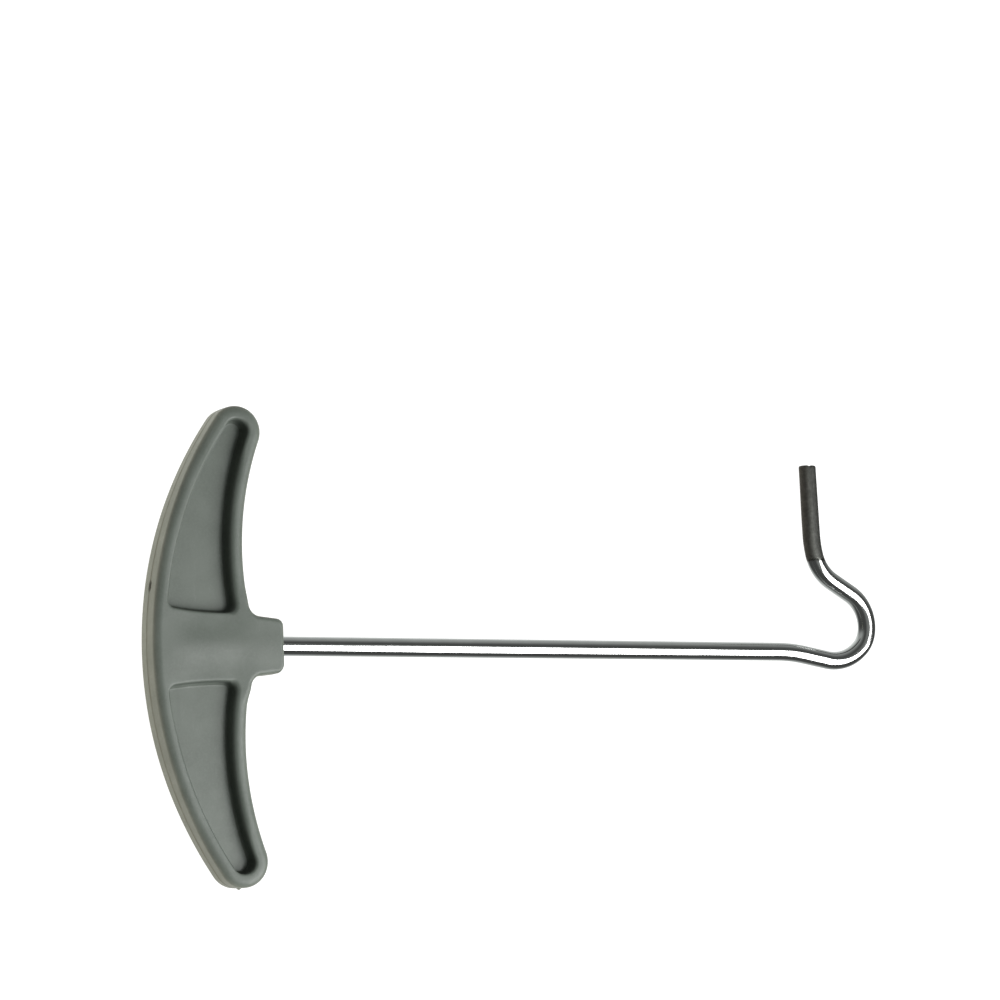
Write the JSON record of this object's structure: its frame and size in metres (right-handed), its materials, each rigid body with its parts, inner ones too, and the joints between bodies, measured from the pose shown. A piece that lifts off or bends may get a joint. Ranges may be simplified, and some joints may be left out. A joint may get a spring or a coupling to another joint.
{
  "type": "t-handle hook tool",
  "caption": "T-handled hook tool: a moulded crescent handle with recessed faces on a plated steel rod bent to an open S-shaped hook with a dark upturned end.",
  "frame": {"origin": "centre of the bounding box in plan, on the plane of the handle's lower face, which the tool rests on", "axes": "+X along the shank from the handle towards the hook, +Y to the side that the hook's tail points to, +Z out of the handle's upper face"},
  "size_m": [0.222, 0.1234, 0.01],
  "materials": {
    "handle_plastic": "grey-green moulded plastic with a fine satin texture",
    "plated_steel": "bright zinc-plated steel rod, with a dark matt finish from the last bend to the cut end"
  },
  "bodies": {
    "root": {"handle": "handle_plastic", "hook_rod": "plated_steel"}
  },
  "joints": []
}
